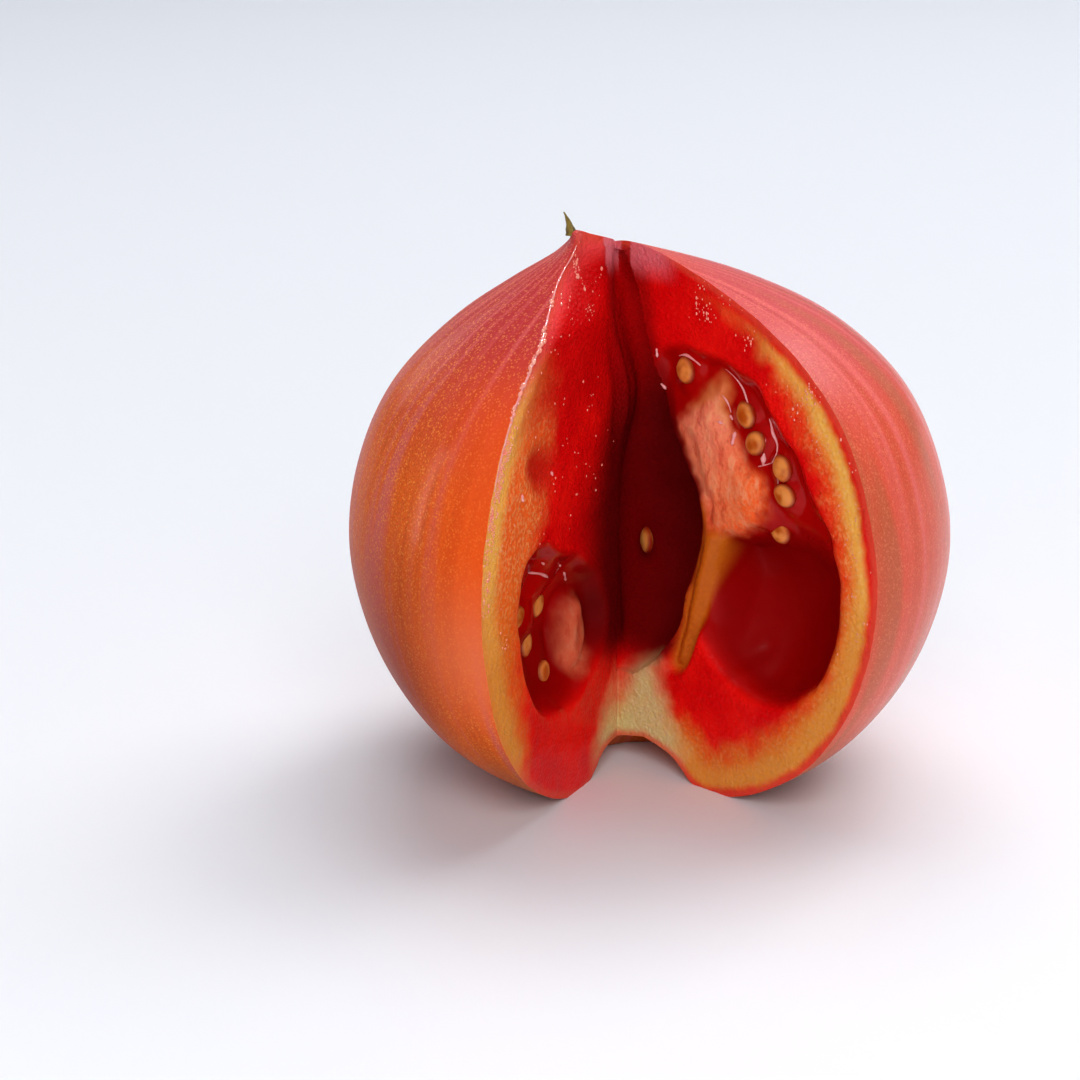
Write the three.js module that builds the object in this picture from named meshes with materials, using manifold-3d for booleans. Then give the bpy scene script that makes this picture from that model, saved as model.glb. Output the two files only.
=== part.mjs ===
// A large ripe tomato standing on its stem-end shoulders with its pointed blossom tip up.
// A wedge has been cut out of the front, so two flat cut faces meet at an upright inner edge.
// The cuts open the seed chambers: hollows in the flesh with a fleshy placenta and seeds in gel.
// Millimetres, +Z up, the cut opens towards -Y, and the origin is the middle of the base.

import * as THREE from 'three';
import { mergeVertices } from 'three/addons/utils/BufferGeometryUtils.js';
import Module from 'manifold-3d';

const wasm = await Module();
wasm.setup();

// Driving dimensions of the whole fruit
const BELLY_RADIUS = 45;
const TIP_HEIGHT = 84.6;
const BASE_SINK = 0.6;
const TIP_LEAN = { x: -11.6, y: -1 };
const LEAN_START = 51;
const LEAN_POWER = 6;
const LOBES = 5;
const LOBE_DEPTH = 0.012;

// The cut: an upright inner edge and the angles of the two cut faces from straight ahead (-Y)
const EDGE = { x: -3.8, y: 3.5 };
const LEFT_ANGLE = THREE.MathUtils.degToRad(26);
const RIGHT_ANGLE = THREE.MathUtils.degToRad(44);
const CUT_REACH = 75;
const CUT_BELOW = -10;
const CUT_ABOVE = 110;

// Seeds with their gel coat, and the dried style on the tip
const SEED = { length: 4.4, width: 3.3, thickness: 2.2 };
const STYLE = { radius: 0.9, height: 3.4, bend: 0.09 };
const GAP = 0.3;
const SOCKET_DEPTH = 0.9;

// Facet counts
const AROUND = 72;
const UP_PROFILE = 44;

// Side profile as radius and height, from the stem dimple round the belly to the blossom tip
const PROFILE = [
  [0, 5.5], [6, 4], [10.5, 0.5], [15, 0], [24, 3.2], [34, 10.5], [41.5, 22], [BELLY_RADIUS, 36],
  [43.5, 49], [38.5, 60.5], [29.5, 69.8], [19, 76.2], [8, 81], [3, 83.1], [1.2, 84.1], [0, TIP_HEIGHT],
];

// How far the fruit's middle line has leant over at a height
function leanAt(z) {
  const share = THREE.MathUtils.clamp((z - LEAN_START) / (TIP_HEIGHT - LEAN_START), 0, 1);
  return share ** LEAN_POWER;
}

// Broad shallow lobes, strongest at the stem-end shoulders and gone at the tip
function lobeAt(angle, z) {
  const fade = 1 - THREE.MathUtils.smoothstep(z, 5, 70);
  const wave = Math.sin(LOBES * angle + 0.6) + 0.5 * Math.sin((LOBES - 2) * angle + 2.1);
  return 1 + LOBE_DEPTH * fade * wave;
}

// three.js geometry to a solid: only positions are kept, so that shared corners merge
function solidOf(geometry) {
  const bare = geometry.clone();
  bare.deleteAttribute('normal');
  bare.deleteAttribute('uv');
  const merged = mergeVertices(bare, 1e-4);
  return new wasm.Manifold(new wasm.Mesh({
    numProp: 3,
    vertProperties: new Float32Array(merged.attributes.position.array),
    triVerts: new Uint32Array(merged.index.array),
  }));
}

function geometryOf(solid) {
  const mesh = solid.getMesh();
  const geometry = new THREE.BufferGeometry();
  geometry.setAttribute('position', new THREE.BufferAttribute(new Float32Array(mesh.vertProperties), 3));
  geometry.setIndex(new THREE.BufferAttribute(new Uint32Array(mesh.triVerts), 1));
  geometry.computeVertexNormals();
  return geometry;
}

// The uncut fruit: the profile spun round, then lobed, leant and pressed flat where it stands
function wholeFruit() {
  const curve = new THREE.SplineCurve(PROFILE.map(([r, z]) => new THREE.Vector2(r, z)));
  const points = curve.getPoints(UP_PROFILE);
  points[0].x = 0;
  points[UP_PROFILE].x = 0;
  const geometry = new THREE.LatheGeometry(points, AROUND);
  geometry.rotateX(Math.PI / 2);
  const position = geometry.attributes.position;
  for (let i = 0; i < position.count; i += 1) {
    const x = position.getX(i);
    const y = position.getY(i);
    const z = position.getZ(i);
    const lobe = lobeAt(Math.atan2(y, x), z);
    const lean = leanAt(z);
    position.setXYZ(
      i,
      x * lobe + TIP_LEAN.x * lean,
      y * lobe + TIP_LEAN.y * lean,
      Math.max(z, BASE_SINK) - BASE_SINK,
    );
  }
  return solidOf(geometry);
}

// A cut face's own axes: u runs from the inner edge out to the skin, z is up, depth goes into the flesh
function faceFrame(side) {
  const angle = side === 'left' ? LEFT_ANGLE : RIGHT_ANGLE;
  const sign = side === 'left' ? -1 : 1;
  return {
    out: new THREE.Vector3(sign * Math.sin(angle), -Math.cos(angle), 0),
    into: new THREE.Vector3(sign * Math.cos(angle), Math.sin(angle), 0),
  };
}

function onFace(side, u, z, depth = 0) {
  const { out, into } = faceFrame(side);
  return new THREE.Vector3(EDGE.x, EDGE.y, z).addScaledVector(out, u).addScaledVector(into, depth);
}

// The removed wedge, as an upright three-cornered prism
function wedgeCut() {
  const left = onFace('left', CUT_REACH, 0);
  const right = onFace('right', CUT_REACH, 0);
  const shape = new THREE.Shape([
    new THREE.Vector2(EDGE.x, EDGE.y),
    new THREE.Vector2(left.x, left.y),
    new THREE.Vector2(right.x, right.y),
  ]);
  const geometry = new THREE.ExtrudeGeometry(shape, { depth: CUT_ABOVE - CUT_BELOW, bevelEnabled: false });
  geometry.translate(0, 0, CUT_BELOW);
  return solidOf(geometry);
}

// An ellipsoid on a cut face: half sizes along u, z and depth, turned by an angle in the face
function blob(side, { u, z, depth = 0, half, turn = 0, facets = [20, 12] }) {
  const { out } = faceFrame(side);
  const geometry = new THREE.SphereGeometry(1, facets[0], facets[1]);
  geometry.scale(half[0], half[1], half[2]);
  geometry.rotateZ(THREE.MathUtils.degToRad(turn));
  const up = new THREE.Vector3(0, 0, 1);
  const across = new THREE.Vector3().crossVectors(out, up);
  geometry.applyMatrix4(new THREE.Matrix4().makeBasis(out, up, across));
  const place = onFace(side, u, z, depth);
  geometry.translate(place.x, place.y, place.z);
  return solidOf(geometry);
}

// The deep hollow behind the inner edge: height, reach along the right face, depth into the flesh
const DEEP_HOLLOW = [
  [14.5, 3, 1.2], [17.5, 8, 4.5], [21, 11.5, 8], [25, 13.6, 10], [31, 15.2, 11.5], [39, 16.3, 12.5],
  [45, 15.2, 11], [50, 12.6, 9.5], [56, 8.4, 8], [64, 6.2, 6.5], [72, 4.6, 4.2], [77.5, 2.6, 1.8],
  [79.6, 1.4, 0.8],
];
const HOLLOW_AROUND = 18;
const HOLLOW_LIP = 0.8;

// The hollow is lofted from D-shaped rings that hardly reach in front of the right face
function deepHollow() {
  const rings = DEEP_HOLLOW.length;
  const positions = [];
  for (const [z, reach, depth] of DEEP_HOLLOW) {
    for (let j = 0; j < HOLLOW_AROUND; j += 1) {
      const t = (2 * Math.PI * j) / HOLLOW_AROUND;
      const across = (reach / 2 - HOLLOW_LIP / 2) + (reach / 2 + HOLLOW_LIP / 2) * Math.cos(t);
      const into = Math.sin(t) * (Math.sin(t) > 0 ? depth : HOLLOW_LIP);
      positions.push(...onFace('right', across, z, into).toArray());
    }
  }
  const ends = [DEEP_HOLLOW[0], DEEP_HOLLOW[rings - 1]];
  ends.forEach(([z, reach]) => positions.push(...onFace('right', reach / 2, z, 0).toArray()));
  const indices = [];
  const bottom = rings * HOLLOW_AROUND;
  for (let j = 0; j < HOLLOW_AROUND; j += 1) {
    const k = (j + 1) % HOLLOW_AROUND;
    for (let i = 0; i < rings - 1; i += 1) {
      const [a, b] = [i * HOLLOW_AROUND + j, i * HOLLOW_AROUND + k];
      const [c, d] = [a + HOLLOW_AROUND, b + HOLLOW_AROUND];
      indices.push(a, b, c, b, d, c);
    }
    const last = (rings - 1) * HOLLOW_AROUND;
    indices.push(bottom, k, j);
    indices.push(bottom + 1, last + j, last + k);
  }
  const geometry = new THREE.BufferGeometry();
  geometry.setAttribute('position', new THREE.Float32BufferAttribute(positions, 3));
  geometry.setIndex(indices);
  return solidOf(geometry);
}

// Seed chambers opened by the cuts, and the soft spot on the left face
const HOLLOWS = [
  ['right', { u: 22.9, z: 55, half: [11.5, 15, 3.2], turn: 32 }],
  ['right', { u: 30.4, z: 34, depth: 1, half: [12, 18, 8], turn: 18 }],
  ['left', { u: 19, z: 26, half: [13, 14, 5] }],
  ['left', { u: 27, z: 53, half: [4.5, 4.5, 1.2] }],
];

// The placenta: a fleshy lobe in the chamber, with the strand that runs down to the stem end
const PLACENTA = [
  ['right', { u: 17.9, z: 53, depth: 3, half: [5.5, 9.5, 3.6], turn: 12 }],
  ['right', { u: 23.4, z: 47.5, depth: 3, half: [6.2, 7.5, 3.6], turn: 20 }],
  ['right', { u: 19.4, z: 60, depth: 2.5, half: [1.8, 4.5, 2], turn: -22, facets: [10, 8] }],
  ['right', { u: 17.2, z: 34, depth: 3.5, half: [2.6, 13, 4], turn: -13, facets: [12, 12] }],
  ['left', { u: 10.5, z: 25, depth: 3.5, half: [5, 8, 4], turn: -10 }],
];

// Seeds at their places on each face: u, z, how deep, and which way they lean
const SEEDS = [
  ['right', 12.4, 64.3, 1.6, 10], ['right', 24.3, 59.3, 2.0, 20], ['right', 26.6, 55.4, 2.7, -40],
  ['right', 31.3, 52.7, 1.8, 30], ['right', 32.6, 49.0, 1.9, 70], ['right', 30.8, 43.9, 3.2, 50],
  ['right', 28.1, 39.4, 7.8, 30], ['right', 0.1, 34.2, 5.3, 0], ['left', 18.2, 29.6, 4.4, 50],
  ['left', 22.0, 24.6, 4.4, 15], ['left', 18.4, 19.4, 3.9, -35], ['left', 25.2, 29.8, 4.0, 70],
];

function seed([side, u, z, depth, turn]) {
  const half = [SEED.width / 2, SEED.length / 2, SEED.thickness / 2];
  return blob(side, { u, z, depth, half, turn, facets: [10, 6] });
}

// The dried style: a small bent thorn, widest at its foot
function styleGeometry() {
  const { radius, height, bend } = STYLE;
  const outline = [[0, 0], [1, 0], [0.85, 0.22], [0.5, 0.55], [0.22, 0.84], [0, 1]];
  const points = outline.map(([r, h]) => new THREE.Vector2(r * radius, h * height));
  const geometry = new THREE.LatheGeometry(points, 10);
  geometry.rotateX(Math.PI / 2);
  const position = geometry.attributes.position;
  for (let i = 0; i < position.count; i += 1) {
    const z = position.getZ(i);
    position.setX(i, position.getX(i) - bend * z * z);
  }
  return geometry;
}

// The plain socket in the fruit's tip that the style's foot stands in
function styleSocket(foot) {
  const radius = STYLE.radius + GAP;
  const depth = TIP_HEIGHT;
  const geometry = new THREE.CylinderGeometry(radius, radius, depth, 12);
  geometry.rotateX(Math.PI / 2);
  geometry.translate(foot.x, foot.y, foot.z - GAP + depth / 2);
  return solidOf(geometry);
}

const styleFoot = new THREE.Vector3(
  TIP_LEAN.x,
  TIP_LEAN.y,
  TIP_HEIGHT - BASE_SINK - SOCKET_DEPTH,
);

function cutFruit() {
  let solid = wholeFruit().subtract(wedgeCut()).subtract(deepHollow());
  for (const [side, hollow] of HOLLOWS) {
    solid = solid.subtract(blob(side, hollow));
  }
  for (const [side, lobe] of PLACENTA) {
    solid = solid.add(blob(side, lobe));
  }
  for (const place of SEEDS) {
    solid = solid.add(seed(place));
  }
  return solid.subtract(styleSocket(styleFoot));
}

const flesh = new THREE.MeshStandardMaterial({ color: 0xd0402a, roughness: 0.35, metalness: 0 });
const dryBrown = new THREE.MeshStandardMaterial({ color: 0x6b5222, roughness: 0.8, metalness: 0 });

const tomato = new THREE.Group();
tomato.name = 'tomato';

const fruitGeometry = geometryOf(cutFruit());
fruitGeometry.computeBoundingBox();
const middle = fruitGeometry.boundingBox.getCenter(new THREE.Vector3());

const fruit = new THREE.Mesh(fruitGeometry, flesh);
fruit.name = 'fruit';
tomato.add(fruit);

const style = new THREE.Mesh(styleGeometry(), dryBrown);
style.name = 'dried_style';
style.position.copy(styleFoot);
tomato.add(style);

// The origin is the middle of the fruit's base
tomato.position.set(-middle.x, -middle.y, 0);
tomato.updateMatrixWorld(true);

export default tomato;
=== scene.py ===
# %% [markdown]
# # A large ripe tomato with a wedge cut out of it
# The fruit stands on its stem-end shoulders with its pointed blossom tip up. A wedge is gone from
# the front, and the two cut faces open the seed chambers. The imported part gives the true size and
# place, and this lesson dresses it: waxy skin, wet flesh, gel, placenta, seeds and the dried style.

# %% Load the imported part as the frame
import math

import bpy
import numpy as np
from mathutils import Matrix, Vector


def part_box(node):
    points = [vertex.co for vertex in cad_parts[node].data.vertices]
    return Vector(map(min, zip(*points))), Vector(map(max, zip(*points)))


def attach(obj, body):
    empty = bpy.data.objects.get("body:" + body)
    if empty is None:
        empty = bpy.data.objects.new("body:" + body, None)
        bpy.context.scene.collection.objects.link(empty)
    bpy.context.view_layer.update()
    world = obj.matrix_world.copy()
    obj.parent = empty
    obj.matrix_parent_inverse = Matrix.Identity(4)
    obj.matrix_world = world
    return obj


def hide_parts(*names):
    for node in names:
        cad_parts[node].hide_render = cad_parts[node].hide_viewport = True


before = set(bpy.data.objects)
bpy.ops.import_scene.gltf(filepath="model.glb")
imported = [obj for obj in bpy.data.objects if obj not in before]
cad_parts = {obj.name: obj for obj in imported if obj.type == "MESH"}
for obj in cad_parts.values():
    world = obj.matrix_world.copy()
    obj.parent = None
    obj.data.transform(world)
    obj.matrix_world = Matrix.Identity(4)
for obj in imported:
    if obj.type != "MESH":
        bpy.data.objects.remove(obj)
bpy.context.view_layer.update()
MM = 0.001

# %% [markdown]
# ## The measures that the fruit shares with its solid
# The same side profile, lean and lobes as in the part's own source, so that the finer surface lies
# on the plain one. A cut face has two axes of its own: u runs from the inner edge to the skin, and
# z is height. Everything below is worked out in millimetres and turned into metres at the end.

# %% Shared measures
TIP_HEIGHT = 84.6
BASE_SINK = 0.6
BELLY = 45.0
TIP_LEAN = np.array([-11.6, -1.0])
LEAN_START, LEAN_POWER = 51.0, 6
LOBES, LOBE_DEPTH = 5, 0.012
UP = np.array([0.0, 0.0, 1.0])
PROFILE = [
    (0, 5.5), (6, 4), (10.5, 0.5), (15, 0), (24, 3.2), (34, 10.5), (41.5, 22), (BELLY, 36),
    (43.5, 49), (38.5, 60.5), (29.5, 69.8), (19, 76.2), (8, 81), (3, 83.1), (1.2, 84.1), (0, TIP_HEIGHT),
]
EDGE = np.array([-3.8, 3.5])
SIGN = {"left": -1, "right": 1}
ANGLES = {"left": math.radians(26), "right": math.radians(44)}
OUT = {side: np.array([SIGN[side] * math.sin(a), -math.cos(a)]) for side, a in ANGLES.items()}
INTO = {side: np.array([SIGN[side] * math.cos(a), math.sin(a)]) for side, a in ANGLES.items()}
LATTICE, FAR_OFF = 32, 1000.0


def smooth(low, high, value):
    """0 below low, 1 above high, and an even S between them."""
    t = np.clip((value - low) / (high - low), 0, 1)
    return t * t * (3 - 2 * t)


def spline(points, count):
    """A Catmull-Rom curve through points, the kind that three.js draws."""
    p = np.array(points, float)
    last = len(p) - 1
    t = np.linspace(0, last, count)
    i = np.minimum(t.astype(int), last - 1)
    w = (t - i)[:, None]
    p0, p1, p2 = p[np.maximum(i - 1, 0)], p[i], p[i + 1]
    p0 = np.where((i == 0)[:, None], p1, p0)
    p3 = p[np.minimum(i + 2, last)]
    v0, v1 = (p2 - p0) / 2, (p3 - p1) / 2
    return (2 * p1 - 2 * p2 + v0 + v1) * w**3 + (-3 * p1 + 3 * p2 - 2 * v0 - v1) * w**2 + v0 * w + p1


def lean_at(z):
    """How far the fruit's middle line has leant over at a height, from 0 to 1."""
    return np.clip((z - LEAN_START) / (TIP_HEIGHT - LEAN_START), 0, 1) ** LEAN_POWER


def lobe_at(angle, z):
    """The factor by which a broad shallow lobe widens the fruit."""
    fade = 1 - smooth(5, 70, z)
    return 1 + LOBE_DEPTH * fade * (np.sin(LOBES * angle + 0.6) + 0.5 * np.sin((LOBES - 2) * angle + 2.1))


def grain(points, cell, seed):
    """Soft random hills from -1 to 1, one every cell millimetres, the same on each run."""
    lattice = np.random.default_rng(seed).uniform(-1, 1, (LATTICE, LATTICE, LATTICE))
    q = np.asarray(points, float) / cell + FAR_OFF
    base = np.floor(q).astype(int)
    f = q - base
    f = f * f * (3 - 2 * f)
    total = np.zeros(len(q))
    for corner in range(8):
        step = np.array([corner & 1, corner >> 1 & 1, corner >> 2 & 1])
        weight = np.prod(np.where(step, f, 1 - f), axis=1)
        i = (base + step) % LATTICE
        total += weight * lattice[i[:, 0], i[:, 1], i[:, 2]]
    return total


def on_face(side, u, z, depth=0.0):
    """Points on a cut face, depth millimetres inside the flesh."""
    u, z, depth = np.broadcast_arrays(np.asarray(u, float), z, depth)
    flat = EDGE + u[..., None] * OUT[side] + depth[..., None] * INTO[side]
    return np.concatenate([flat, z[..., None]], axis=-1)


print("fruit:", 2 * BELLY, "mm wide,", TIP_HEIGHT, "mm tall")

# %% [markdown]
# ## Small helpers for meshes
# Rings of points become a mesh of quads. A fan closes each end, so that each piece is a closed body
# whose faces point outwards, which the light and the export both need.

# %% Mesh helpers
def mesh_from(name, points, faces):
    """A new object whose mesh has these points, in millimetres, and faces."""
    mesh = bpy.data.meshes.new(name)
    mesh.from_pydata((np.asarray(points) * MM).tolist(), [], faces)
    mesh.validate()
    obj = bpy.data.objects.new(name, mesh)
    bpy.context.scene.collection.objects.link(obj)
    return obj


def closed_faces(rings, around, start=0):
    """Faces of rings of points, which the first point after them closes below and the next above."""
    faces = []
    for i in range(rings - 1):
        low, high = start + i * around, start + (i + 1) * around
        faces += [(low + j, low + (j + 1) % around, high + (j + 1) % around, high + j) for j in range(around)]
    first, top = start + rings * around, start + (rings - 1) * around
    faces += [(first, start + (j + 1) % around, start + j) for j in range(around)]
    faces += [(first + 1, top + j, top + (j + 1) % around) for j in range(around)]
    return faces


def ball(rings, around):
    """Points of a ball of radius 1 in rings round Z, without its poles."""
    theta = np.linspace(0, math.pi, rings + 2)[1:-1]
    phi = np.linspace(0, 2 * math.pi, around, endpoint=False)
    t, p = np.meshgrid(theta, phi, indexing="ij")
    return np.stack([np.sin(t) * np.cos(p), np.sin(t) * np.sin(p), np.cos(t)], axis=-1).reshape(-1, 3)


def outward(obj):
    """Turns the faces of a closed mesh so that they point outwards."""
    mesh = obj.data
    mesh.calc_loop_triangles()
    co = np.array([v.co for v in mesh.vertices])
    tri = np.array([t.vertices for t in mesh.loop_triangles])
    volume = np.einsum("ij,ij->", co[tri[:, 0]], np.cross(co[tri[:, 1]], co[tri[:, 2]]))
    if volume < 0:
        mesh.flip_normals()


print("helpers ready")

# %% [markdown]
# ## The whole fruit
# The skin is a surface of revolution with broad shallow lobes and a leaning tip. It could be a
# sculpted sphere, but a spun profile keeps the measured outline exact from every side.

# %% Spin the whole fruit
ROWS, AROUND = 180, 280
profile = spline(PROFILE, ROWS + 1)
angle = np.linspace(0, 2 * math.pi, AROUND, endpoint=False)
r, a = np.meshgrid(profile[1:-1, 0], angle, indexing="ij")
z = np.broadcast_to(profile[1:-1, 1][:, None], r.shape)
radius = r * lobe_at(a, z)
centre = lean_at(z)[..., None] * TIP_LEAN
skin_x, skin_y = radius * np.cos(a) + centre[..., 0], radius * np.sin(a) + centre[..., 1]
skin_points = np.stack([skin_x, skin_y, z], axis=-1).reshape(-1, 3)
swell = grain(skin_points, 13.0, 4) * 0.12 * smooth(2, 12, skin_points[:, 2])
skin_points[:, :2] *= (1 - np.abs(swell) / BELLY)[:, None]
skin_points = np.vstack([skin_points, [[0, 0, profile[0, 1]]], [[*TIP_LEAN, TIP_HEIGHT]]])
skin_points[:, 2] = np.maximum(skin_points[:, 2], BASE_SINK) - BASE_SINK
fruit = mesh_from("fruit_body", skin_points, closed_faces(ROWS - 1, AROUND))
outward(fruit)
print("whole fruit:", len(fruit.data.vertices), "points")

# %% [markdown]
# ## What the two cuts show
# Each cut face is a height field: for every u and z it says how deep the surface lies in the flesh.
# The outlines below are drawn on the cut faces. The chamber sinks in and is lined with smooth gel,
# the placenta rises from it as a grainy lobe with a fringe, and a strand runs down to the stem end.

# %% Outlines on the cut faces
CHAMBER = [(4.0, 56), (6.4, 63.4), (8.6, 66.6), (13, 67.6), (18, 66.8), (22.5, 65.8), (26.4, 64.4),
           (28.9, 60.6), (32.3, 57.3), (34.6, 54.4), (36.5, 51.3), (38.2, 48.3), (40.4, 45.2), (42.0, 42.0),
           (43.3, 37.6), (43, 31), (41, 24), (36, 18.5), (30, 16.5), (23, 18), (17.5, 22.5), (13, 29),
           (9, 38), (5.5, 47)]
PLACENTA = [(10.2, 54.7), (12.5, 57.6), (14.7, 59.9), (16.9, 61.2), (19.0, 63.3), (20.0, 62.0), (19.2, 59.4),
            (20.0, 57.2), (21.8, 55.0), (23.6, 52.8), (25.8, 50.6), (27.2, 48.2), (27.6, 45.8), (26.4, 43.4),
            (24.2, 41.6), (21.6, 40.4), (19.0, 40.0), (17.0, 40.6), (15.8, 43.0), (14.8, 45.6), (13.6, 48.4),
            (12.6, 50.8), (12.0, 53.0)]
STRAND = [(15.4, 45), (20.4, 44), (20.0, 39.8), (18.9, 36.6), (17.9, 33.4), (17.0, 30.2), (15.4, 24.0),
          (12.8, 17.8), (9.8, 17.8), (11.4, 24.6), (12.4, 29.0), (13.4, 32.4), (14.4, 36.0), (15.2, 39.8)]
LOW_CHAMBER = [(4.5, 25), (7, 30.5), (10.4, 34.4), (15, 37), (19.4, 39.0), (24.2, 41.4), (29, 41.6),
               (33, 39.4), (34.4, 34), (33.4, 27), (30.4, 20), (25, 15.5), (17, 14.5), (10.5, 17), (6, 20.5)]
LOW_LOBE = [(7.8, 24), (9.4, 28.6), (12.4, 29.0), (14.8, 25), (14.4, 19.5), (11.4, 17.5), (8.6, 20)]
SOFT_SPOT = [(31.6, 54.3), (29.4, 56.4), (26, 56.0), (23.2, 52.4), (25.2, 50.2), (29, 50.2)]
# u, z and size of each dome of gel
GEL_DOMES = {
    "right": [(12.3, 63.8, 3.8), (23.8, 59.2, 3.4), (26.2, 55.6, 3.2), (31.2, 52.7, 3.2), (31.9, 48.9, 3.2),
              (28.8, 42.2, 3.6)],
    "left": [(27.6, 36.6, 4.4), (20.0, 34.4, 4.4), (22.4, 28.6, 3.6), (19.2, 22.4, 3.6), (28.8, 30.0, 3.6)],
}
# Height, reach along the right face, and depth into the flesh
DEEP_HOLLOW = [(14.5, 3, 1.2), (17.5, 7, 4.5), (21, 9.8, 8), (25, 11.6, 10), (31, 13.0, 11.5),
               (39, 15.2, 12.5), (45, 14.6, 11), (50, 11.8, 9.5), (56, 8.0, 8), (64, 6.0, 6.5),
               (72, 4.6, 4.2), (77.5, 2.6, 1.8), (79.6, 1.4, 0.8)]


def rounded(outline, steps=6):
    """The closed curve through an outline's corners, so that no tissue has a straight side."""
    p = np.array(outline, float)
    return spline(np.vstack([p[-2:], p, p[:3]]), (len(p) + 4) * steps + 1)[2 * steps:-2 * steps - 1]


def inside(outline, u, z):
    """Distance to an outline on a cut face in millimetres, positive inside it."""
    p = rounded(outline)
    q = np.roll(p, -1, axis=0)
    point = np.stack([np.ravel(u), np.ravel(z)], axis=1)
    nearest = np.full(len(point), 1e9)
    within = np.zeros(len(point), bool)
    for a0, b0 in zip(p, q):
        edge = b0 - a0
        t = np.clip(((point - a0) @ edge) / max(edge @ edge, 1e-9), 0, 1)
        nearest = np.minimum(nearest, np.linalg.norm(point - a0 - t[:, None] * edge, axis=1))
        crosses = (a0[1] > point[:, 1]) != (b0[1] > point[:, 1])
        reach = a0[0] + (point[:, 1] - a0[1]) / (edge[1] if abs(edge[1]) > 1e-9 else 1e-9) * edge[0]
        within ^= crosses & (point[:, 0] < reach)
    return np.where(within, nearest, -nearest).reshape(np.shape(u))


def domes(side, u, z):
    """The gel round each seed swells into a low dome, and neighbouring domes meet in a crease."""
    top = np.zeros(np.shape(u))
    for du, dz, size in GEL_DOMES[side]:
        away = ((u - du) ** 2 + ((z - dz) / 1.15) ** 2) / size**2
        top = np.maximum(top, np.clip(1 - away, 0, 1) ** 1.2)
    return top


def relief(side, u, z):
    """How deep a cut face lies in the flesh at u and z, in millimetres."""
    flat = on_face(side, u, z).reshape(-1, 3)
    shape = np.shape(u)
    hills = grain(flat, 3.2, 14).reshape(shape)
    fine = (0.14 * grain(flat, 5.0, 11) + 0.05 * grain(flat, 1.7, 12)).reshape(shape)
    juice = 0.05 * grain(flat, 0.8, 13).reshape(shape)
    lump = 0.18 * grain(flat, 2.2, 15).reshape(shape)
    if side == "right":
        chamber = inside(CHAMBER, u, z) + 0.5 * hills
        depth = 1.8 * smooth(-1.0, 2.2, chamber) - 1.1 * domes(side, u, z) * smooth(-0.2, 1.6, chamber)
        bowl = np.clip((chamber - 0.2) / 13, 0, 1)
        depth = depth + 9.0 * (1 - (1 - bowl) ** 2) * smooth(49, 32, z) * smooth(16, 21, u)
        lobe = inside(PLACENTA, u, z) + 0.35 * hills + 0.45 * grain(flat, 1.2, 16).reshape(shape)
        rise = 0.5 + 0.9 * smooth(3.6, 0.0, lobe) + lump
        depth = depth + (rise - depth) * smooth(-3.4, 0.9, lobe)
        dimple = np.exp(-((u - 16.9) / 0.9) ** 2 - ((z - 44.2) / 1.6) ** 2)
        strand = inside(STRAND, u, z) + 0.2 * hills
        ridge = 0.5 + 1.2 * smooth(2.0, 0.0, strand) + 0.03 * (42 - z)
        depth = depth + (ridge - depth) * smooth(-1.1, 0.9, strand) * (1 - smooth(-1.0, 0.7, lobe))
        return depth + 1.0 * dimple + fine + juice * (1 - smooth(-0.5, 0.5, chamber))
    chamber = inside(LOW_CHAMBER, u, z) + 0.5 * hills
    bowl = np.clip((chamber - 0.2) / 9, 0, 1)
    depth = 1.3 * smooth(-0.8, 1.8, chamber) - 0.9 * domes(side, u, z) * smooth(-0.2, 1.6, chamber)
    depth = depth + 4.0 * (1 - (1 - bowl) ** 2)
    lobe = inside(LOW_LOBE, u, z) + 0.3 * hills
    rise = 1.4 + smooth(2.5, 0.0, lobe) + lump
    depth = depth + (np.minimum(rise, depth) - depth) * smooth(-1.6, 1.0, lobe)
    depth = depth + 0.8 * smooth(-2.0, 3.0, inside(SOFT_SPOT, u, z))
    fold = np.exp(-((u - 1.6 - 0.05 * (z - 60)) / 0.7) ** 2) * smooth(50, 56, z) * smooth(69, 62, z)
    crease = np.exp(-((u - 3.8 - 0.05 * (z - 60)) / 1.0) ** 2) * smooth(48, 56, z) * smooth(72, 64, z)
    shaved = 3.3 * smooth(70, 80, z) * smooth(0.5, 7.0, u)
    return depth + shaved - 0.50 * fold + 0.35 * crease + fine + juice * (1 - smooth(-0.5, 0.5, chamber))


print("outlines:", len(CHAMBER), len(PLACENTA), len(STRAND), len(LOW_CHAMBER), len(LOW_LOBE), len(SOFT_SPOT))

# %% [markdown]
# ## The wedge that is cut away
# The cutter is a closed block whose two inner sides carry the height fields. Taking it out of the
# whole fruit leaves the cut faces with all their relief, and a seam that follows the skin exactly.
# The inner edge isn't dead straight: the left face bulges over the deep hollow behind it.

# %% Build the cutter
REACH, LOW, HIGH = 60.0, -6.0, 92.0
STEPS_U, STEPS_Z = 205, 255


def edge_shift(z):
    """How far the inner edge strays sideways and backwards at a height."""
    bulge = 1.9 * np.exp(-((z - 58) / 7.5) ** 2) - 0.3 - 0.9 * smooth(62, 72, z)
    back = 3.2 * smooth(68, 80, z)
    return np.stack([bulge, back, np.zeros_like(z)], axis=-1)


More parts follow.
